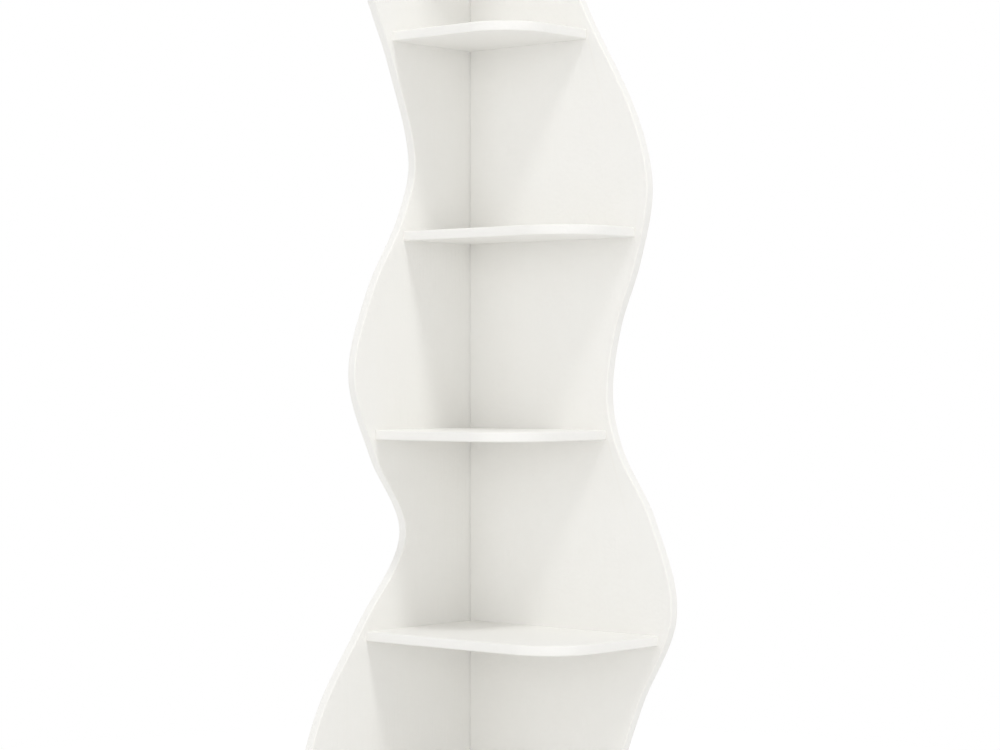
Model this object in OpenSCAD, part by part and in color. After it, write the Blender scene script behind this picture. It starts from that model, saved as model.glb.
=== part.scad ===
// Corner shelf unit for a dolls' house, at one twelfth of full size.
// Two upright side panels meet at a right angle and lap at the corner. The front edge of each
// panel is a slow wave. Six flat shelves stand in stopped housings cut in the panels' inner
// faces, and small panel pins driven from behind hold every joint.
//
// All sizes are in millimetres. The origin is the outer back corner at floor level, where the
// two walls of a room meet: the right panel runs along +X, the left panel along -Y, +Z is up.

/* [Boards] */
// Thickness of the two side panels
panel_t = 1.5; // [1.2:0.1:3]
// Thickness of the shelves
shelf_t = 1.5; // [1:0.1:3]
// Depth of the housings that hold the shelves
housing_depth = 0.5; // [0.2:0.1:0.6]
// Depth of the rebate that holds the left panel's back edge
rebate_depth = 0.5; // [0.2:0.1:0.6]
// Slack above a shelf in its housing
housing_slack = 0.02; // [0:0.01:0.1]

/* [Shelves] */
// Distance from one shelf's top face to the next
shelf_pitch = 30; // [20:1:45]
// Height of the lowest shelf's top face above the floor
lowest_shelf = 5; // [4:0.5:12]
// Height of the side panels above the top shelf's top face
head_rise = 10; // [4:0.5:20]
// How far each shelf stops short of the panels' wavy edges
shelf_setback = 1.1; // [0.5:0.1:3]
// Radius of each shelf's front corner
shelf_corner_r = 8; // [2:0.5:10]

/* [Side panels] */
// Width added to the left panel all the way up
left_extra_w = 0; // [-4:0.5:12]
// Width added to the right panel all the way up
right_extra_w = 0; // [-4:0.5:12]
// Radius of the panels' top front corners
top_corner_r = 7; // [0:0.5:8]

/* [Panel pins] */
// Diameter of a panel pin
pin_d = 0.6; // [0.4:0.1:0.8]
// Length of a panel pin, head included
pin_l = 4.5; // [3:0.5:6]
// Diameter of a pin's head
pin_head_d = 1; // [0.8:0.1:1.1]
// Thickness of a pin's head
pin_head_t = 0.25; // [0.1:0.05:0.4]
// Least distance between a shelf's pins and the tips of those from the other panel
pin_clearance = 2; // [1:0.5:4]
// Distance from the last pin of a shelf edge to the shelf's end
last_pin = 4; // [2:0.5:6]

/* [Hidden] */
shelf_count = 6;

pins_per_edge = 2;
curve_steps = 8;   // straight pieces between two stations of a wave
arc_steps = 12;    // straight pieces in a panel's rounded top corner
min_straight = 1;  // least straight length beside a shelf's rounded corner
cut = 1;           // how far a cutting shape runs past the board it cuts
pin_fn = 32;
corner_fn = 96;

paint_white = "#f4f3ee";
pin_steel = "#b9bcc0";

panel_h = lowest_shelf + (shelf_count - 1) * shelf_pitch + head_rise;

// Stations of the two wavy edges, from the floor up. Each is a height and the panel's width
// there, measured from the inner corner. The heights stretch with the panels.
left_stations = [
    [0, 35.5], [12, 36], [24, 32], [36, 23.5], [49, 14.5],
    [61, 21], [73, 25.5], [86, 21.5], [97, 15], [106, 12.5],
    [120, 17], [134, 23], [146, 22], [156, 18], [165, 13.5]
];
right_stations = [
    [0, 29.5], [12, 29], [24, 33], [38, 39.5], [52, 35.5],
    [62, 29.5], [70, 27.5], [80, 29], [90, 32.8], [101, 35],
    [112, 32], [130, 22], [142, 18.5], [154, 20.5], [165, 21.5]
];

left_wave = stretched(left_stations, left_extra_w);
right_wave = stretched(right_stations, right_extra_w);

// The stations with a width added, and the last one brought to the panel's top.
function stretched(stations, extra) =
    let (stretch = panel_h / stations[len(stations) - 1][0])
    [for (s = stations) [s[0] * stretch, s[1] + extra]];

// Slope of the wave at station i: the line through its two neighbours.
function slope(wave, i) =
    let (a = wave[max(i - 1, 0)], b = wave[min(i + 1, len(wave) - 1)])
    (b[1] - a[1]) / (b[0] - a[0]);

// Width at height z within the span from station i to the next: a cubic that meets both
// stations at their slopes.
function span_width(wave, i, z) =
    let (
        rise = wave[i + 1][0] - wave[i][0],
        u = (z - wave[i][0]) / rise
    )
    wave[i][1] * (2 * u ^ 3 - 3 * u ^ 2 + 1)
    + slope(wave, i) * rise * (u ^ 3 - 2 * u ^ 2 + u)
    + wave[i + 1][1] * (3 * u ^ 2 - 2 * u ^ 3)
    + slope(wave, i + 1) * rise * (u ^ 3 - u ^ 2);

// Index of the span that holds height z.
function span_at(wave, z, i = 0) =
    i >= len(wave) - 2 || z <= wave[i + 1][0] ? i : span_at(wave, z, i + 1);

// Width of a wavy edge at height z.
function wave_width(wave, z) = span_width(wave, span_at(wave, z), z);

// How far the rounded top corner cuts into the panel at height z.
function top_rounding(z) =
    let (up = z - (panel_h - top_corner_r))
    up <= 0 ? 0 : top_corner_r - sqrt(max(top_corner_r ^ 2 - up ^ 2, 0));

// Width of a panel at height z, with the rounded top corner taken off.
function edge_width(wave, z) = wave_width(wave, z) - top_rounding(z);

// Heights at which a panel's outline has a point, from the floor to the top.
function outline_heights(wave) =
    let (
        round_start = panel_h - top_corner_r,
        below = [
            for (i = [0 : len(wave) - 2], k = [0 : curve_steps - 1])
                wave[i][0] + (wave[i + 1][0] - wave[i][0]) * k / curve_steps
        ]
    )
    concat(
        [for (z = below) if (z < round_start - 0.1) z],
        top_corner_r > 0
            ? [for (k = [0 : arc_steps]) round_start + top_corner_r * sin(90 * k / arc_steps)]
            : [panel_h]
    );

// Top face of shelf i, counted from 1 at the bottom.
function shelf_top(i) = lowest_shelf + (i - 1) * shelf_pitch;

// Depth of shelf i along a panel: it stops short of the narrowest place it passes.
function shelf_depth(wave, i) =
    min(edge_width(wave, shelf_top(i)), edge_width(wave, shelf_top(i) - shelf_t)) - shelf_setback;

// Distances of the pins of shelf i from the inner corner, along the panel.
function pin_places(wave, i) =
    let (
        near = pin_l - panel_t + pin_clearance,
        far = shelf_depth(wave, i) - last_pin
    )
    [for (k = [0 : pins_per_edge - 1]) near + (far - near) * k / (pins_per_edge - 1)];

// Heights of the corner pins: halfway between neighbouring shelves.
function corner_pin_heights() =
    [for (i = [1 : shelf_count - 1]) shelf_top(i) + (shelf_pitch - shelf_t) / 2];

// A flat board with a wavy front edge, drawn as width along X and height along Y.
module wavy_outline(wave) {
    edge = [for (z = outline_heights(wave)) [edge_width(wave, z), z]];
    polygon(concat([[0, 0]], edge, [[0, panel_h]]));
}

// A panel pin: its head is flush with the plane z = 0 and its shank points down.
module panel_pin() {
    translate([0, 0, -pin_head_t])
        cylinder(d = pin_head_d, h = pin_head_t, $fn = pin_fn);
    translate([0, 0, -pin_l])
        cylinder(d = pin_d, h = pin_l, $fn = pin_fn);
}

// Pins through the left panel into the edge of shelf i.
module left_pins(i) {
    for (q = pin_places(left_wave, i))
        translate([0, -panel_t - q, shelf_top(i) - shelf_t / 2])
            rotate([0, -90, 0])
                panel_pin();
}

// Pins through the right panel into the edge of shelf i.
module right_pins(i) {
    for (q = pin_places(right_wave, i))
        translate([panel_t + q, 0, shelf_top(i) - shelf_t / 2])
            rotate([-90, 0, 0])
                panel_pin();
}

// Pins through the right panel into the left panel's back edge.
module all_corner_pins() {
    for (z = corner_pin_heights())
        translate([panel_t / 2, 0, z])
            rotate([-90, 0, 0])
                panel_pin();
}

// Plan of shelf i: square at the three corners that touch the panels, round at the front.
module shelf_plan(i) {
    along_x = shelf_depth(right_wave, i);
    along_y = shelf_depth(left_wave, i);
    r = min(shelf_corner_r, along_x - min_straight, along_y - min_straight);
    inner = panel_t - housing_depth;
    difference() {
        translate([inner, -panel_t - along_y])
            square([along_x + housing_depth, along_y + housing_depth]);
        translate([panel_t + along_x - r, -panel_t - along_y]) {
            difference() {
                translate([0, -cut])
                    square([r + cut, r + cut]);
                translate([0, r])
                    circle(r = r, $fn = corner_fn);
            }
        }
    }
}

// The space that shelf i takes up, with the slack above it that its housings have.
module housing_cut(i) {
    translate([0, 0, shelf_top(i) - shelf_t])
        linear_extrude(shelf_t + housing_slack)
            shelf_plan(i);
}

module shelf(i) {
    color(paint_white)
        difference() {
            translate([0, 0, shelf_top(i) - shelf_t])
                linear_extrude(shelf_t)
                    shelf_plan(i);
            left_pins(i);
            right_pins(i);
        }
}

// The left panel reaches back into the right panel's rebate.
module left_panel() {
    color(paint_white)
        difference() {
            union() {
                translate([0, -panel_t, 0])
                    rotate([90, 0, -90])
                        translate([0, 0, -panel_t])
                            linear_extrude(panel_t)
                                wavy_outline(left_wave);
                translate([0, -panel_t, 0])
                    cube([panel_t, rebate_depth, panel_h]);
            }
            for (i = [1 : shelf_count]) {
                housing_cut(i);
                left_pins(i);
            }
            all_corner_pins();
        }
}

// The right panel laps the left panel's back edge.
module right_panel() {
    color(paint_white)
        difference() {
            union() {
                translate([panel_t, 0, 0])
                    rotate([90, 0, 0])
                        linear_extrude(panel_t)
                            wavy_outline(right_wave);
                translate([0, rebate_depth - panel_t, 0])
                    cube([panel_t, panel_t - rebate_depth, panel_h]);
            }
            for (i = [1 : shelf_count]) {
                housing_cut(i);
                right_pins(i);
            }
            all_corner_pins();
        }
}

module shelf_left_pins(i) { color(pin_steel) left_pins(i); }
module shelf_right_pins(i) { color(pin_steel) right_pins(i); }
module corner_pins() { color(pin_steel) all_corner_pins(); }

left_panel();
right_panel();
for (i = [1 : shelf_count]) {
    shelf(i);
    shelf_left_pins(i);
    shelf_right_pins(i);
}
corner_pins();
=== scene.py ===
"""Finished boards, pins and studio for a dolls' house corner shelf with wavy side panels."""

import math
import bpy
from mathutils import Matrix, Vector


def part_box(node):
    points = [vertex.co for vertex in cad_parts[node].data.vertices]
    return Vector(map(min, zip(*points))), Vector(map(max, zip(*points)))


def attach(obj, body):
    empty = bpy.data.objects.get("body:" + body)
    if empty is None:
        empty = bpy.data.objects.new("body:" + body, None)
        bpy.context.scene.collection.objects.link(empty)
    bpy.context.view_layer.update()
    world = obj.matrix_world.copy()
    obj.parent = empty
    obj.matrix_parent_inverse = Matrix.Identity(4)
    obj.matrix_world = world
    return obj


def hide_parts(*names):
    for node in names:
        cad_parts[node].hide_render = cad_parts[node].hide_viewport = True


bl_info = {
    "name": "Dolls' House Corner Shelf",
    "version": (1, 0, 0),
    "blender": (4, 5, 0),
    "location": "View3D > Sidebar > Corner Shelf",
    "description": "Makes the painted boards, the panel pins and the studio of a small corner shelf",
    "category": "Add Mesh",
}

import bmesh
import bpy
import numpy as np
from bpy.props import FloatProperty, FloatVectorProperty, IntProperty, PointerProperty
from mathutils import Vector

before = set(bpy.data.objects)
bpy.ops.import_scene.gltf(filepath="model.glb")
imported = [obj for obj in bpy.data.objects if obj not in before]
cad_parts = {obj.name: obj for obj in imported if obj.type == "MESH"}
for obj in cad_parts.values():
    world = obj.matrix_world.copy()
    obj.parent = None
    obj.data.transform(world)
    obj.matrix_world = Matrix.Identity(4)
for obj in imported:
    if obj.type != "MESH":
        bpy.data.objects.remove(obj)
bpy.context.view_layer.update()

MM = 0.001
SIDE_PANELS = ("left_panel", "right_panel")
SHELVES = sorted(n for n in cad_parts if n.startswith("shelf_") and "pins" not in n)
PIN_GROUPS = sorted(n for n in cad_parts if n.endswith("pins"))
ROOT = "root"

PANEL_BACK_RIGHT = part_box("right_panel")[1].y
PANEL_THICKNESS = PANEL_BACK_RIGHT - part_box("right_panel")[0].y
INNER_CORNER = np.array([PANEL_THICKNESS, -PANEL_THICKNESS])
PANEL_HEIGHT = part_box("left_panel")[1].z

# Two faces that meet at more than this angle meet in a sharp edge.
CREASE = math.radians(35)
# CAD points nearer than this to a plane lie on it.
FINE = 0.01 * MM


# ---------------------------------------------------------------------------------- settings


class BoardSettings(bpy.types.PropertyGroup):
    """Sizes of the softened edges that every board has."""

    arris: FloatProperty(
        name="Arris radius",
        description="Radius of the sanded arrises along every edge of a board",
        default=0.22 * MM,
        min=0.05 * MM,
        max=0.6 * MM,
        precision=5,
        subtype="DISTANCE",
        unit="LENGTH",
    )
    arris_steps: IntProperty(
        name="Arris steps",
        description="Facets round each sanded arris",
        default=6,
        min=2,
        max=12,
    )
    corner: FloatProperty(
        name="Square corner radius",
        description="Radius that sanding leaves at a board's square corners, in the board's plane",
        default=0.5 * MM,
        min=0.4 * MM,
        max=1.0 * MM,
        precision=5,
        subtype="DISTANCE",
        unit="LENGTH",
    )
    curve_step: FloatProperty(
        name="Curve step",
        description="Distance between the points along a curved edge",
        default=0.4 * MM,
        min=0.1 * MM,
        max=2.0 * MM,
        precision=5,
        subtype="DISTANCE",
        unit="LENGTH",
    )
    corner_joint: FloatProperty(
        name="Corner joint line",
        description="Width of the fine open line where the two side panels meet inside",
        default=0.035 * MM,
        min=0.0,
        max=0.3 * MM,
        precision=5,
        subtype="DISTANCE",
        unit="LENGTH",
    )


class PaintSettings(bpy.types.PropertyGroup):
    """Colour and surface of the sprayed white paint."""

    colour: FloatVectorProperty(
        name="Paint colour",
        description="Colour of the white paint",
        default=(0.915, 0.909, 0.882),
        min=0.0,
        max=1.0,
        subtype="COLOR",
    )
    thin_colour: FloatVectorProperty(
        name="Thin paint colour",
        description="Colour where the paint lies thin, on the arrises and in faint clouds",
        default=(0.88, 0.858, 0.81),
        min=0.0,
        max=1.0,
        subtype="COLOR",
    )
    roughness: FloatProperty(
        name="Roughness",
        description="Roughness of the satin surface",
        default=0.42,
        min=0.0,
        max=1.0,
        subtype="FACTOR",
    )
    peel: FloatProperty(
        name="Spray texture size",
        description="Distance between the fine ripples of the sprayed paint",
        default=0.7 * MM,
        min=0.1 * MM,
        precision=5,
        subtype="DISTANCE",
        unit="LENGTH",
    )
    peel_height: FloatProperty(
        name="Spray texture height",
        description="Height of the fine ripples of the sprayed paint",
        default=0.04 * MM,
        min=0.0,
        precision=6,
        subtype="DISTANCE",
        unit="LENGTH",
    )
    grain_height: FloatProperty(
        name="Grain height",
        description="Height of the wood grain that shows faintly through the paint",
        default=0.06 * MM,
        min=0.0,
        precision=6,
        subtype="DISTANCE",
        unit="LENGTH",
    )


class PinSettings(bpy.types.PropertyGroup):
    """Shape and colour of the panel pins."""

    shank: FloatProperty(
        name="Shank diameter",
        description="Diameter of a pin's wire",
        default=0.6 * MM,
        min=0.2 * MM,
        precision=5,
        subtype="DISTANCE",
        unit="LENGTH",
    )
    head_thickness: FloatProperty(
        name="Head thickness",
        description="Thickness of a pin's head",
        default=0.25 * MM,
        min=0.1 * MM,
        precision=5,
        subtype="DISTANCE",
        unit="LENGTH",
    )
    crown: FloatProperty(
        name="Head crown",
        description="How far the rim of a pin's head lies below its middle",
        default=0.04 * MM,
        min=0.0,
        precision=5,
        subtype="DISTANCE",
        unit="LENGTH",
    )
    hole_slack: FloatProperty(
        name="Hole slack",
        description="How much wider the holes in the boards are than the pins, all round",
        default=0.02 * MM,
        min=0.001 * MM,
        precision=6,
        subtype="DISTANCE",
        unit="LENGTH",
    )
    colour: FloatVectorProperty(
        name="Steel colour",
        description="Colour of the drawn steel wire",
        default=(0.56, 0.57, 0.58),
        min=0.0,
        max=1.0,
        subtype="COLOR",
    )


class StageSettings(bpy.types.PropertyGroup):
    """Camera, lamps and floor."""

    lens: FloatProperty(
        name="Lens",
        description="Focal length of the camera, in millimetres on a 36 mm sensor",
        default=93.85,
        min=10.0,
        unit="CAMERA",
    )
    turn: FloatProperty(
        name="Camera azimuth",
        description="Direction the camera looks in, measured from +Y towards -X",
        default=math.radians(41.4),
        subtype="ANGLE",
        unit="ROTATION",
    )
    distance: FloatProperty(
        name="Camera distance",
        description="Distance from the camera to the inner corner",
        default=0.4059,
        min=0.05,
        subtype="DISTANCE",
        unit="LENGTH",
    )
    aside: FloatProperty(
        name="Camera offset",
        description="How far the camera stands to the right of the inner corner",
        default=4.67 * MM,
        precision=5,
        subtype="DISTANCE",
        unit="LENGTH",
    )
    eye_height: FloatProperty(
        name="Eye height",
        description="Height of the level camera above the floor",
        default=73.2 * MM,
        precision=4,
        subtype="DISTANCE",
        unit="LENGTH",
    )
    key_power: FloatProperty(
        name="Key lamp power",
        description="Power of the lamp above and to the right",
        default=2.12,
        min=0.0,
        unit="POWER",
    )
    left_power: FloatProperty(
        name="Left lamp power",
        description="Power of the large soft lamp on the left",
        default=1.08,
        min=0.0,
        unit="POWER",
    )
    front_power: FloatProperty(
        name="Front lamp power",
        description="Power of the large soft lamp at the front",
        default=2.12,
        min=0.0,
        unit="POWER",
    )
    back_power: FloatProperty(
        name="Back lamp power",
        description="Power of the large soft lamp behind the shelf",
        default=2.4,
        min=0.0,
        unit="POWER",
    )
    surround: FloatProperty(
        name="Surround",
        description="Strength of the even light from all round",
        default=0.7,
        min=0.0,
    )


# --------------------------------------------------------------------------------- materials

# Sockets of a Mix node that mixes colours, by number, because their names repeat.
MIX_FACTOR, MIX_COLOUR_A, MIX_COLOUR_B = 0, 6, 7
MIX_COLOUR_OUT = 2
WHITE = (1.0, 1.0, 1.0, 1.0)


class Shade:
    """A socket whose value varies over a surface. Arithmetic on it adds Math nodes."""

    def __init__(self, finish, socket):
        self.finish = finish
        self.socket = socket

    def _math(self, operation, first, second):
        node = self.finish.add("ShaderNodeMath", {"operation": operation}, {0: first, 1: second})
        return Shade(self.finish, node.outputs[0])

    def __add__(self, other):
        return self._math("ADD", self, other)

    def __radd__(self, other):
        return self._math("ADD", other, self)

    def __mul__(self, other):
        return self._math("MULTIPLY", self, other)

    def __rmul__(self, other):
        return self._math("MULTIPLY", other, self)


class Finish:
    """A node tree under construction, for a material or the world."""

    def __init__(self, owner):
        owner.use_nodes = True
        self.tree = owner.node_tree
        self.tree.nodes.clear()

    def add(self, kind, settings, sockets):
        """Adds a node, makes its settings, then fills its sockets with values or links."""
        node = self.tree.nodes.new(kind)
        for name, value in settings.items():
            setattr(node, name, value)
        for name, value in sockets.items():
            if isinstance(value, Shade):
                self.tree.links.new(value.socket, node.inputs[name])
            elif isinstance(value, bpy.types.NodeSocket):
                self.tree.links.new(value, node.inputs[name])
            else:
                node.inputs[name].default_value = value
        return node

    def shade(self, kind, settings, sockets, output=0):
        """Adds a node and gives one of its outputs as a value for arithmetic."""
        return Shade(self, self.add(kind, settings, sockets).outputs[output])

    def blend(self, factor, first, second):
        """The first colour where factor is 0, the second where it is 1."""
        return self.shade(
            "ShaderNodeMix",
            {"data_type": "RGBA"},
            {MIX_FACTOR: factor, MIX_COLOUR_A: first, MIX_COLOUR_B: second},
            MIX_COLOUR_OUT,
        )


def opaque(colour):
    """A colour with full opacity added, as a socket wants it."""
    return (*colour, 1.0)


def painted_wood(name, grain_along, paint):
    """White satin paint over wood whose grain runs along one axis ("X" or "Z").

    Colour: the paint's colour, drawn towards the thin paint's in soft clouds and on arrises.
    Height: fine spray ripples, plus noise stretched along the grain.
    """
    clouds_per_metre = 90.0
    grain_per_metre = 2200.0
    along_grain = 0.06
    thin_in_clouds, thin_on_arris = 0.35, 0.3
    rough_in_clouds, rough_in_ripples, rough_on_arris = 0.06, 0.04, 0.05
    # Both noises are near a half on average, so this keeps the average at the setting.
    average_rise = (rough_in_clouds + rough_in_ripples) / 2
    material = bpy.data.materials.new(name)
    finish = Finish(material)
    place = finish.shade("ShaderNodeTexCoord", {}, {}, "Object")
    stretch = (along_grain, 1.0, 1.0) if grain_along == "X" else (1.0, 1.0, along_grain)
    grain_place = finish.shade("ShaderNodeMapping", {}, {"Vector": place, "Scale": stretch})
    clouds = finish.shade(
        "ShaderNodeTexNoise",
        {},
        {"Vector": place, "Scale": clouds_per_metre, "Detail": 3.0, "Roughness": 0.55},
    )
    ripples = finish.shade(
        "ShaderNodeTexNoise", {}, {"Vector": place, "Scale": 1.0 / paint.peel, "Detail": 2.0}
    )
    grain = finish.shade(
        "ShaderNodeTexNoise",
        {},
        {"Vector": grain_place, "Scale": grain_per_metre, "Detail": 4.0, "Roughness": 0.6},
    )
    arris = finish.shade("ShaderNodeAttribute", {"attribute_name": "arris"}, {}, "Fac")
    thin = finish.shade(
        "ShaderNodeMath",
        {"operation": "ADD", "use_clamp": True},
        {0: clouds * thin_in_clouds, 1: arris * thin_on_arris},
    )
    colour = finish.blend(thin, opaque(paint.colour), opaque(paint.thin_colour))
    height = ripples * paint.peel_height + grain * paint.grain_height
    bump = finish.add("ShaderNodeBump", {}, {"Height": height, "Strength": 1.0, "Distance": 1.0})
    roughness = (
        paint.roughness
        - average_rise
        + clouds * rough_in_clouds
        + arris * rough_on_arris
        + ripples * rough_in_ripples
    )
    surface = finish.add(
        "ShaderNodeBsdfPrincipled",
        {},
        {
            "Base Color": colour,
            "Roughness": roughness,
            "Normal": bump.outputs["Normal"],
            "Specular IOR Level": 0.45,
        },
    )
    finish.add("ShaderNodeOutputMaterial", {}, {"Surface": surface.outputs[0]})
    return material


def drawn_steel(pins):
    """Bright steel wire: fine scratches in the roughness and the surface, faint dull spots."""
    scratches_per_metre = 9000.0
    scratch_depth = 0.002 * MM
    spots_per_metre = 1500.0
    dull_colour = [0.7 * c for c in pins.colour]
    material = bpy.data.materials.new("pin_steel")
    finish = Finish(material)
    place = finish.shade("ShaderNodeTexCoord", {}, {}, "Object")
    scratches = finish.shade(
        "ShaderNodeTexNoise", {}, {"Vector": place, "Scale": scratches_per_metre, "Detail": 3.0}
    )
    dull = finish.shade(
        "ShaderNodeTexNoise", {}, {"Vector": place, "Scale": spots_per_metre, "Detail": 2.0}
    )
    colour = finish.blend(dull * 0.5, opaque(pins.colour), opaque(dull_colour))
    bump = finish.add(
        "ShaderNodeBump", {}, {"Height": scratches * scratch_depth, "Strength": 1.0, "Distance": 1.0}
    )
    surface = finish.add(
        "ShaderNodeBsdfPrincipled",
        {},
        {
            "Base Color": colour,
            "Metallic": 1.0,
            "Roughness": 0.22 + scratches * 0.2,
            "Normal": bump.outputs["Normal"],
        },
    )
    finish.add("ShaderNodeOutputMaterial", {}, {"Surface": surface.outputs[0]})
    return material


def once(name, make):
    """The material of that name, made the first time it is asked for."""
    return bpy.data.materials.get(name) or make()


# -------------------------------------------------------------------------------- mesh making


def node_points(name):
    """The vertices of a CAD node, as an array of points."""
    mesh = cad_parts[name].data
    points = np.zeros(len(mesh.vertices) * 3)
    mesh.vertices.foreach_get("co", points)
    return points.reshape(-1, 3)


def smooth_through(points, step):
    """A smooth curve through a row of points, as new points about one step apart.

    Between two points it is a cubic whose slope at each is the line through its two
    neighbours: the Catmull-Rom rule, with the row's ends repeated.
    """
    padded = np.vstack([points[:1], points, points[-1:]])
    before, start, end, after = padded[:-3], padded[1:-2], padded[2:-1], padded[3:]
    parts = max(1, int(np.ceil(np.linalg.norm(end - start, axis=1).max() / step)))
    u = (np.arange(parts) / parts)[None, :, None]
    before, start, end, after = (p[:, None, :] for p in (before, start, end, after))
    curve = 0.5 * (
        2 * start
        + (end - before) * u
        + (2 * before - 5 * start + 4 * end - after) * u**2
        + (3 * start - before - 3 * end + after) * u**3
    )
    return np.vstack([curve.reshape(-1, 2), points[-1:]])


def arc(centre, radius, first, last, steps):
    """Points round a circle from one angle to another, in degrees."""
    angle = np.radians(np.linspace(first, last, steps + 1))
    return np.column_stack(
        [centre[0] + radius * np.cos(angle), centre[1] + radius * np.sin(angle)]
    )


def with_holds(loop, hold):
    """A closed outline with a point added just inside both ends of each long straight.

    The points lie a hold from the ends, so that the shading of a rounded corner stops there.
    """
    long_enough = 4 * hold
    ahead = np.roll(loop, -1, axis=0)
    length = np.linalg.norm(ahead - loop, axis=1)
    long_ones = np.flatnonzero(length > long_enough)
    way = (ahead - loop)[long_ones] / length[long_ones, None] * hold
    extra = np.stack([loop[long_ones] + way, ahead[long_ones] - way], axis=1).reshape(-1, 2)
    return np.insert(loop, np.repeat(long_ones + 1, 2), extra, axis=0)


def wavy_front(name, reach_of):
    """The wavy front edge of a side panel: its CAD outline from floor to top, as (reach, height).

    An outline point shows as a corner on both faces of the board, which a pin hole or a
    housing does not. reach_of gives the distance from the inner corner along the panel, and
    the depth from the outer face.
    """
    grid = 0.001 * MM
    nearest_front = 2 * PANEL_THICKNESS
    points = node_points(name)
    reach, depth = reach_of(points)
    rows = np.round(np.column_stack([reach, points[:, 2]]) / grid).astype(np.int64)
    outer = {tuple(r) for r in rows[depth < FINE]}
    inner = {tuple(r) for r in rows[depth > PANEL_THICKNESS - FINE]}
    edge = np.array(sorted(outer & inner, key=lambda r: (r[1], r[0])), float) * grid
    return edge[edge[:, 0] > nearest_front]


def panel_outline(front, back, furthest, board):
    """A side panel's outline, counter-clockwise: square corners just eased, wavy front.

    front is the (reach, height) row of the wavy edge, back the reach of the back edge, and
    furthest the reach that the smoothed wave may not pass.
    """
    r = board.corner
    steps = board.arris_steps
    clear_of_foot = r * 1.2
    curve = smooth_through(front, board.curve_step)
    curve = curve[curve[:, 1] > clear_of_foot]
    curve[:, 0] = np.minimum(curve[:, 0], furthest)
    top = front[-1, 1]
    foot = front[0, 0]
    return np.vstack(
        [
            arc((back + r, r), r, 180, 270, steps),
            arc((foot - r, r), r, 270, 360, steps),
            curve,
            arc((back + r, top - r), r, 90, 180, steps),
        ]
    )


def board_surface(loop, thickness, board, place):
    """Vertices and faces of a board: a rounded profile carried round a closed outline.

    Each ring of the profile is the outline moved inwards by arris * (1 - sin a) at the depth
    arris * (1 - cos a), for a from 0 to 90 degrees, and the same from the other face. A ring
    just beyond each end of an arris keeps the flats beside it flat. place turns the outline's
    two coordinates and the depth into x, y and z. The last result is how near each vertex is
    to the middle of an arris, from 0 to 1.
    """
    hold = board.arris / 2
    loop = with_holds(loop, hold)
    along = np.roll(loop, -1, axis=0) - loop
    along /= np.linalg.norm(along, axis=1, keepdims=True)
    tangent = along + np.roll(along, 1, axis=0)
    inward = np.column_stack([-tangent[:, 1], tangent[:, 0]])
    inward /= np.linalg.norm(inward, axis=1, keepdims=True)
    angle = np.linspace(0, np.pi / 2, board.arris_steps + 1)
    inset = board.arris * (1 - np.sin(angle))
    depth = board.arris * (1 - np.cos(angle))
    nearness = np.sin(2 * angle)
    inset = np.concatenate([[board.arris + hold], inset, [0.0]])
    depth = np.concatenate([[0.0], depth, [board.arris + hold]])
    nearness = np.concatenate([[0.0], nearness, [0.0]])
    inset = np.concatenate([inset, inset[::-1]])
    depth = np.concatenate([depth, thickness - depth[::-1]])
    rings = loop[None] + inset[:, None, None] * inward[None]
    depths = np.broadcast_to(depth[:, None], rings.shape[:2])
    vertices = np.stack(place(rings[..., 0], rings[..., 1], depths), axis=-1).reshape(-1, 3)
    ring_count, size = rings.shape[:2]
    ring = np.arange(ring_count - 1)[:, None] * size
    here = np.arange(size)[None]
    there = (here + 1) % size
    sides = np.stack([ring + here, ring + there, ring + size + there, ring + size + here], axis=-1)
    last = (ring_count - 1) * size
    caps = [list(range(size)), list(range(last, last + size))]
    nearness = np.repeat(np.concatenate([nearness, nearness[::-1]]), size)
    return vertices, sides.reshape(-1, 4).tolist(), caps, nearness


def turned_surface(profile, facets, heads, axis):
    """Vertices and faces of pins turned from one profile, a pin for each head position.

    profile holds (radius, depth) pairs from the middle of the head to the point. The point at
    angle b is radius * cos b and radius * sin b across the pin, and its depth along the axis.
    """
    angle = np.linspace(0, 2 * np.pi, facets, endpoint=False)
    radius, depth = profile[:, 0, None], profile[:, 1, None]
    across, up = radius * np.cos(angle), radius * np.sin(angle)
    depths = np.broadcast_to(depth, across.shape)
    layers = (depths, across, up) if axis == "X" else (across, -depths, up)
    one = np.stack(layers, axis=-1).reshape(-1, 3)
    rings = len(profile)
    ring = np.arange(rings - 1)[:, None] * facets
    here = np.arange(facets)[None]
    there = (here + 1) % facets
    sides = np.stack([ring + here, ring + there, ring + facets + there, ring + facets + here], -1)
    sides = sides.reshape(-1, 4)
    caps = np.stack([np.arange(facets), np.arange(facets) + (rings - 1) * facets])
    offsets = np.arange(len(heads)) * len(one)
    vertices = (heads[:, None] + one[None]).reshape(-1, 3)
    all_sides = (offsets[:, None, None] + sides[None]).reshape(-1, 4)
    all_caps = (offsets[:, None, None] + caps[None]).reshape(-1, facets)
    return vertices, all_sides.tolist(), all_caps.tolist()


def closed_piece(name, vertices, sides, caps, nearness=None, smooth=True):
    """An object from a closed surface: smooth sides, flat caps, faces pointing outwards."""
    mesh = bpy.data.meshes.new(name)
    mesh.from_pydata(vertices.tolist(), [], sides + caps)
    mesh.validate()
    shaded = np.zeros(len(mesh.polygons), bool)
    shaded[: len(sides)] = smooth
    mesh.polygons.foreach_set("use_smooth", shaded)
    if nearness is not None:
        mesh.attributes.new("arris", "FLOAT", "POINT").data.foreach_set("value", nearness)
    work = bmesh.new()
    work.from_mesh(mesh)
    bmesh.ops.recalc_face_normals(work, faces=work.faces)
    work.to_mesh(mesh)
    work.free()
    mesh.set_sharp_from_angle(angle=CREASE)
    piece = bpy.data.objects.new(name, mesh)
    bpy.context.scene.collection.objects.link(piece)
    return piece


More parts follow.
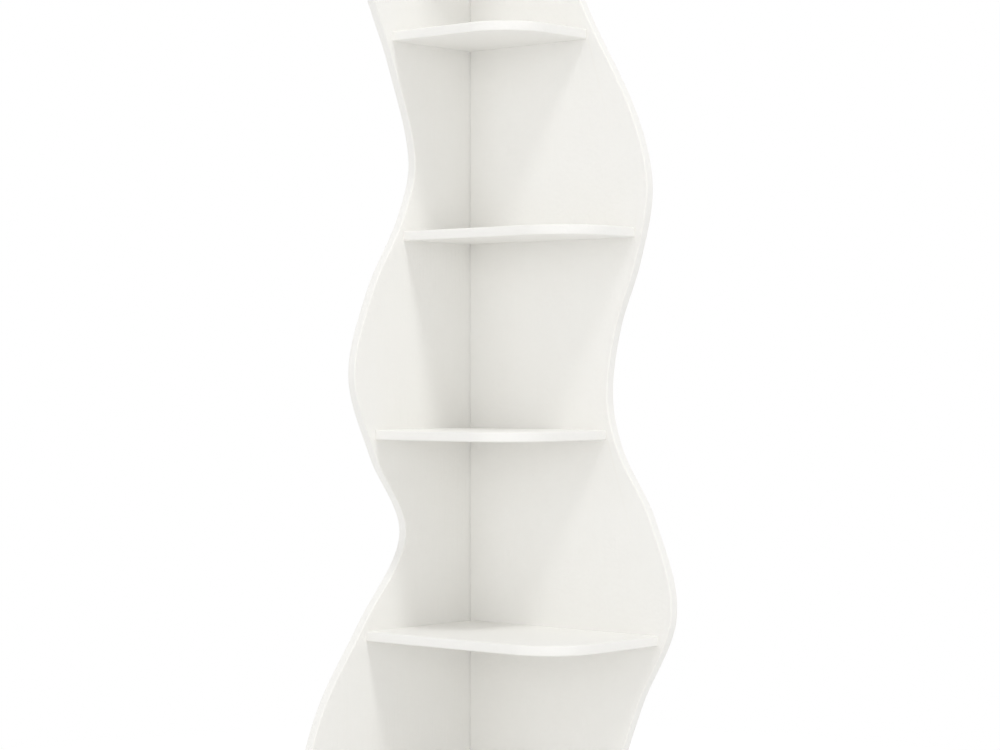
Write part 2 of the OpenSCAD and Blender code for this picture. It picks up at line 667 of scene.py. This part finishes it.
def block(name, low, high):
    """A plain block between two corners, for cutting a rebate."""
    loop = np.array([[low[0], low[1]], [high[0], low[1]], [high[0], high[1]], [low[0], high[1]]])
    rings = np.vstack([np.column_stack([loop, np.full(4, z)]) for z in (low[2], high[2])])
    sides = [[i, (i + 1) % 4, 4 + (i + 1) % 4, 4 + i] for i in range(4)]
    return closed_piece(name, rings, sides, [[0, 1, 2, 3], [4, 5, 6, 7]], smooth=False)


def cut_away(piece, cutters):
    """Takes the cutters' solids out of a piece."""
    for cutter in cutters:
        cut = piece.modifiers.new("cut", "BOOLEAN")
        cut.operation = "DIFFERENCE"
        cut.solver = "EXACT"
        cut.object = cutter
    graph = bpy.context.evaluated_depsgraph_get()
    graph.update()
    whole = bpy.data.meshes.new_from_object(piece.evaluated_get(graph), depsgraph=graph)
    piece.modifiers.clear()
    old = piece.data
    piece.data = whole
    bpy.data.meshes.remove(old)
    whole.name = piece.name
    whole.set_sharp_from_angle(angle=CREASE)


def joined(name, pieces):
    """One object that holds copies of the pieces' meshes."""
    work = bmesh.new()
    for piece in pieces:
        work.from_mesh(piece.data)
    mesh = bpy.data.meshes.new(name)
    work.to_mesh(mesh)
    work.free()
    whole = bpy.data.objects.new(name, mesh)
    bpy.context.scene.collection.objects.link(whole)
    return whole


def discard(*tools):
    """Removes objects that only served to cut."""
    for tool in tools:
        mesh = tool.data
        bpy.data.objects.remove(tool)
        bpy.data.meshes.remove(mesh)


def settle(piece, node, material):
    """Gives a piece its finish, and puts it in the place of its CAD node."""
    piece.data.materials.clear()
    piece.data.materials.append(material)
    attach(piece, ROOT)
    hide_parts(node)


# -------------------------------------------------------------------------------------- pins

# A turned outline starts at this share of its radius, where a small flat cap closes it.
AXIS_GAP = 0.02
PIN_FACETS = 32


def pin_axis(group):
    """The axis that a group's pins lie along: left pins along X, the others along Y."""
    return "X" if "left" in group else "Y"


def pin_heads(group):
    """The middles of a group's pin heads, the heads' diameter and the pins' length.

    The heads are evenly spaced along the CAD group's box.
    """
    low, high = (np.array(corner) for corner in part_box(group))
    size = high - low
    if group == "corner_pins":
        head = size[0]
        count = len(SHELVES) - 1
    else:
        head = size[2]
        count = 2
    first, last = low + head / 2, high - head / 2
    heads = np.linspace(first, last, count)
    if pin_axis(group) == "X":
        heads[:, 0] = low[0]
    else:
        heads[:, 1] = high[1]
    return heads, head, size["XY".index(pin_axis(group))]


def pin_profile(head, length, pins):
    """A pin's half outline: a crowned head, an eased rim, a straight shank and a drawn point.

    Each row is a radius and a depth. The crown falls with the square of the radius.
    """
    rim = head / 2
    shank = pins.shank / 2
    share = np.linspace(AXIS_GAP, 0.9, 6)
    crown = np.column_stack([rim * share, pins.crown * share**2])
    rest = np.array(
        [
            [rim * 0.97, pins.crown * 1.2],
            [rim, pins.crown * 2.0],
            [rim, pins.head_thickness * 0.85],
            [rim * 0.96, pins.head_thickness],
            [shank * 1.05, pins.head_thickness],
            [shank, pins.head_thickness * 1.3],
            [shank, length - pins.shank * 1.6],
            [shank * 0.62, length - pins.shank * 0.75],
            [shank * 0.12, length],
        ]
    )
    return np.vstack([crown, rest])


def hole_profile(head, length, pins):
    """The half outline of a pin's hole as radius and depth, run out past the board's face."""
    rim, shank = head / 2 + pins.hole_slack, pins.shank / 2 + pins.hole_slack
    out = -pins.head_thickness
    return np.array(
        [
            [rim * AXIS_GAP, out],
            [rim, out],
            [rim, pins.head_thickness + pins.hole_slack],
            [shank, pins.head_thickness + pins.hole_slack],
            [shank, length + pins.hole_slack],
            [shank * AXIS_GAP, length + pins.hole_slack],
        ]
    )


def hole_cutters(groups, pins):
    """One object with the holes for all the pins of some groups."""
    holes = []
    for group in groups:
        heads, head, length = pin_heads(group)
        profile = hole_profile(head, length, pins)
        surface = turned_surface(profile, PIN_FACETS, heads, pin_axis(group))
        holes.append(closed_piece("hole", *surface, smooth=False))
    whole = joined("holes", holes)
    discard(*holes)
    return whole


class CORNERSHELF_OT_pins(bpy.types.Operator):
    """Make the steel panel pins, one piece for each group"""

    bl_idname = "corner_shelf.pins"
    bl_label = "Panel pins"

    def execute(self, context):
        pins = context.scene.corner_shelf_pins
        steel = once("pin_steel", lambda: drawn_steel(pins))
        for group in PIN_GROUPS:
            heads, head, length = pin_heads(group)
            profile = pin_profile(head, length, pins)
            surface = turned_surface(profile, PIN_FACETS, heads, pin_axis(group))
            settle(closed_piece(f"{group}_driven", *surface), group, steel)
        return {"FINISHED"}


# ------------------------------------------------------------------------------------ boards


def shelf_outline(node, board):
    """A shelf's plan, counter-clockwise from its back corner, and its bottom and thickness."""
    low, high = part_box(node)
    points = node_points(node)
    front = points[points[:, 1] < low.y + FINE]
    round_r = high.x - front[:, 0].max()
    r = board.corner
    steps = board.arris_steps
    round_steps = int(np.ceil(round_r * np.pi / 2 / board.curve_step))
    loop = np.vstack(
        [
            arc((low.x + r, high.y - r), r, 90, 180, steps),
            arc((low.x + r, low.y + r), r, 180, 270, steps),
            arc((high.x - round_r, low.y + round_r), round_r, 270, 360, round_steps),
            arc((high.x - r, high.y - r), r, 0, 90, steps),
        ]
    )
    return loop, low.z, high.z - low.z


def shelf_piece(node, board, name):
    """A shelf board with its arrises softened all round."""
    loop, bottom, thickness = shelf_outline(node, board)
    surface = board_surface(loop, thickness, board, lambda x, y, depth: (x, y, bottom + depth))
    return closed_piece(name, *surface)


class CORNERSHELF_OT_shelves(bpy.types.Operator):
    """Make the shelf boards, bored for their pins"""

    bl_idname = "corner_shelf.shelves"
    bl_label = "Shelves"

    def execute(self, context):
        board = context.scene.corner_shelf_board
        paint = context.scene.corner_shelf_paint
        name = "white_paint_on_shelves"
        white = once(name, lambda: painted_wood(name, "X", paint))
        for node in SHELVES:
            piece = shelf_piece(node, board, f"{node}_board")
            holes = hole_cutters(
                [f"{node}_left_pins", f"{node}_right_pins"], context.scene.corner_shelf_pins
            )
            cut_away(piece, [holes])
            discard(holes)
            settle(piece, node, white)
        return {"FINISHED"}


def left_reach(points):
    """Distance from the inner corner along the left panel, and depth from its outer face."""
    return INNER_CORNER[1] - points[:, 1], points[:, 0]


def right_reach(points):
    """Distance from the inner corner along the right panel, and depth from its outer face."""
    return points[:, 0] - INNER_CORNER[0], PANEL_BACK_RIGHT - points[:, 1]


def left_place(reach, height, depth):
    """A point of the left panel in the shared frame."""
    return depth, INNER_CORNER[1] - reach, height


def right_place(reach, height, depth):
    """A point of the right panel in the shared frame."""
    return INNER_CORNER[0] + reach, PANEL_BACK_RIGHT - depth, height


class CORNERSHELF_OT_side_panels(bpy.types.Operator):
    """Make the two side panels, with the rebate, the housings and the pin holes cut"""

    bl_idname = "corner_shelf.side_panels"
    bl_label = "Side panels"

    def execute(self, context):
        board = context.scene.corner_shelf_board
        paint = context.scene.corner_shelf_paint
        pins = context.scene.corner_shelf_pins
        name = "white_paint_on_panels"
        white = once(name, lambda: painted_wood(name, "Z", paint))
        left_back = INNER_CORNER[1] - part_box("left_panel")[1].y
        right_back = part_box("right_panel")[0].x - INNER_CORNER[0]
        makers = {
            "left_panel": (left_reach, left_place, left_back),
            "right_panel": (right_reach, right_place, right_back),
        }
        tongues = [shelf_piece(node, board, "tongue") for node in SHELVES]
        housings = joined("housings", tongues)
        rebate = block(
            "rebate",
            (-MM, INNER_CORNER[1] - MM, -MM),
            (INNER_CORNER[0] + board.corner_joint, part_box("left_panel")[1].y, PANEL_HEIGHT + MM),
        )
        for node in SIDE_PANELS:
            reach_of, place, back = makers[node]
            furthest = reach_of(node_points(node))[0].max()
            outline = panel_outline(wavy_front(node, reach_of), back, furthest, board)
            surface = board_surface(outline, PANEL_THICKNESS, board, place)
            piece = closed_piece(f"{node}_board", *surface)
            side = node.split("_")[0]
            holes = hole_cutters([g for g in PIN_GROUPS if side in g or "corner" in g], pins)
            cutters = [housings, holes] if side == "left" else [rebate, housings, holes]
            cut_away(piece, cutters)
            discard(holes)
            settle(piece, node, white)
        discard(housings, rebate, *tongues)
        return {"FINISHED"}


# ------------------------------------------------------------------------------------- stage


def seen_directly(finish):
    """1 for rays from the camera or off gloss or through glass, 0 for the rest."""
    path = finish.add("ShaderNodeLightPath", {}, {})
    camera = Shade(finish, path.outputs["Is Camera Ray"])
    gloss = Shade(finish, path.outputs["Is Glossy Ray"])
    through = Shade(finish, path.outputs["Is Transmission Ray"])
    total = camera + gloss + through
    return finish.shade("ShaderNodeMath", {"operation": "MINIMUM"}, {0: total, 1: 1.0})


def lamp(name, shape, size, power, place, target):
    """An area lamp that faces a point."""
    data = bpy.data.lights.new(name, "AREA")
    data.shape = shape
    data.size = size
    data.energy = power
    lit = bpy.data.objects.new(name, data)
    lit.location = place
    lit.rotation_euler = (Vector(target) - Vector(place)).to_track_quat("-Z", "Y").to_euler()
    bpy.context.scene.collection.objects.link(lit)


def floor_finish():
    """White floor. It shows the object's shadow near it, and is plain white further away.

    The camera sees the shaded floor with a lift that brings its lit part to white, and this
    passes into plain white as the distance from the object goes from near to far. From below
    the floor is clear, so that the object's underside can be looked at.
    """
    near, far, lift = 0.05, 0.14, 0.22
    teeth_per_metre = 600.0
    material = bpy.data.materials.new("white_floor")
    finish = Finish(material)
    place = finish.shade("ShaderNodeTexCoord", {}, {}, "Object")
    tooth = finish.shade(
        "ShaderNodeTexNoise", {}, {"Vector": place, "Scale": teeth_per_metre, "Detail": 2.0}
    )
    matt = finish.add(
        "ShaderNodeBsdfPrincipled",
        {},
        {
            "Base Color": opaque((0.9, 0.9, 0.9)),
            "Roughness": 0.8 + tooth * 0.1,
            "Specular IOR Level": 0.1,
        },
    )
    plain = finish.add("ShaderNodeEmission", {}, {"Color": WHITE, "Strength": 1.0})
    distance = finish.shade("ShaderNodeVectorMath", {"operation": "LENGTH"}, {0: place}, "Value")
    spread = finish.shade(
        "ShaderNodeMapRange",
        {"interpolation_type": "SMOOTHSTEP"},
        {"Value": distance, "From Min": near, "From Max": far, "To Min": 0.0, "To Max": 1.0},
    )
    glow = finish.add("ShaderNodeEmission", {}, {"Color": WHITE, "Strength": lift})
    lifted = finish.add("ShaderNodeAddShader", {}, {0: matt.outputs[0], 1: glow.outputs[0]})
    seen = finish.add(
        "ShaderNodeMixShader", {}, {0: spread, 1: lifted.outputs[0], 2: plain.outputs[0]}
    )
    above = finish.add(
        "ShaderNodeMixShader",
        {},
        {0: seen_directly(finish), 1: matt.outputs[0], 2: seen.outputs[0]},
    )
    side = finish.shade("ShaderNodeNewGeometry", {}, {}, "Backfacing")
    clear = finish.add("ShaderNodeBsdfTransparent", {}, {})
    mix = finish.add(
        "ShaderNodeMixShader", {}, {0: side, 1: above.outputs[0], 2: clear.outputs[0]}
    )
    finish.add("ShaderNodeOutputMaterial", {}, {"Surface": mix.outputs[0]})
    return material


def studio_world(strength):
    """Even light from all round, which the camera and gloss see as plain white."""
    world = bpy.data.worlds.new("studio")
    finish = Finish(world)
    light = finish.add("ShaderNodeBackground", {}, {"Color": WHITE, "Strength": strength})
    white = finish.add("ShaderNodeBackground", {}, {"Color": WHITE, "Strength": 1.0})
    mix = finish.add(
        "ShaderNodeMixShader", {}, {0: seen_directly(finish), 1: light.outputs[0], 2: white.outputs[0]}
    )
    finish.add("ShaderNodeOutputWorld", {}, {"Surface": mix.outputs[0]})
    return world


class CORNERSHELF_OT_stage(bpy.types.Operator):
    """Make the floor, the soft lamps, the white surround and the camera"""

    bl_idname = "corner_shelf.stage"
    bl_label = "Stage"

    def execute(self, context):
        stage = context.scene.corner_shelf_stage
        floor_reach = 3.0
        cells = 8
        edge = np.linspace(-floor_reach, floor_reach, cells + 1)
        x, y = np.meshgrid(edge, edge)
        just_below = 0.02 * MM
        vertices = np.column_stack([x.ravel(), y.ravel(), np.full(x.size, -just_below)])
        row = cells + 1
        here = (np.arange(cells)[:, None] * row + np.arange(cells)[None]).ravel()
        faces = np.column_stack([here, here + 1, here + row + 1, here + row])
        mesh = bpy.data.meshes.new("floor")
        mesh.from_pydata(vertices.tolist(), [], faces.tolist())
        mesh.materials.append(floor_finish())
        floor = bpy.data.objects.new("floor", mesh)
        context.scene.collection.objects.link(floor)

        middle = Vector((INNER_CORNER[0], INNER_CORNER[1], stage.eye_height))
        key_distance, key_size = 0.9, 0.16
        fill_distance, fill_size = 1.2, 0.7
        key_from = middle + key_distance * Vector((0.58, -0.26, 1.0)).normalized()
        lamp("key", "DISK", key_size, stage.key_power, key_from, middle)
        fills = {
            "left_fill": (stage.left_power, (-0.15, -1.0, 0.25)),
            "front_fill": (stage.front_power, (0.66, -0.75, 0.0)),
            "back_fill": (stage.back_power, (-0.6, 0.8, 0.4)),
        }
        for name, (power, way) in fills.items():
            fill_from = middle + fill_distance * Vector(way).normalized()
            lamp(name, "SQUARE", fill_size, power, fill_from, middle)
        context.scene.world = studio_world(stage.surround)
        context.scene.view_settings.view_transform = "Standard"

        ahead = Vector((-math.sin(stage.turn), math.cos(stage.turn), 0.0))
        right = Vector((math.cos(stage.turn), math.sin(stage.turn), 0.0))
        data = bpy.data.cameras.new("camera")
        data.lens = stage.lens
        data.sensor_width = 36.0
        data.clip_start = 0.01
        data.clip_end = 20.0
        camera = bpy.data.objects.new("camera", data)
        camera.location = middle - stage.distance * ahead + stage.aside * right
        camera.rotation_euler = ahead.to_track_quat("-Z", "Y").to_euler()
        context.scene.collection.objects.link(camera)
        context.scene.camera = camera
        return {"FINISHED"}


# ------------------------------------------------------------------------------ panel, add-on

STEPS = (
    CORNERSHELF_OT_pins,
    CORNERSHELF_OT_shelves,
    CORNERSHELF_OT_side_panels,
    CORNERSHELF_OT_stage,
)
SETTINGS = {
    "corner_shelf_board": BoardSettings,
    "corner_shelf_paint": PaintSettings,
    "corner_shelf_pins": PinSettings,
    "corner_shelf_stage": StageSettings,
}


class CORNERSHELF_PT_maker(bpy.types.Panel):
    """The steps that make the corner shelf, and their settings"""

    bl_label = "Corner Shelf"
    bl_idname = "CORNERSHELF_PT_maker"
    bl_space_type = "VIEW_3D"
    bl_region_type = "UI"
    bl_category = "Corner Shelf"

    def draw(self, context):
        for step in STEPS:
            self.layout.operator(step.bl_idname)
        for name, group in SETTINGS.items():
            box = self.layout.box()
            box.label(text=group.__doc__.splitlines()[0])
            for field in group.__annotations__:
                box.prop(getattr(context.scene, name), field)


CLASSES = (*SETTINGS.values(), *STEPS, CORNERSHELF_PT_maker)


def register():
    """Registers the classes and gives the scene its settings."""
    for cls in CLASSES:
        bpy.utils.register_class(cls)
    for name, group in SETTINGS.items():
        setattr(bpy.types.Scene, name, PointerProperty(type=group))


def unregister():
    """Takes the settings and the classes away again."""
    for name in SETTINGS:
        delattr(bpy.types.Scene, name)
    for cls in reversed(CLASSES):
        bpy.utils.unregister_class(cls)


def main():
    register()
    bpy.ops.corner_shelf.pins()
    bpy.ops.corner_shelf.shelves()
    bpy.ops.corner_shelf.side_panels()
    bpy.ops.corner_shelf.stage()


if __name__ == "__main__":
    main()
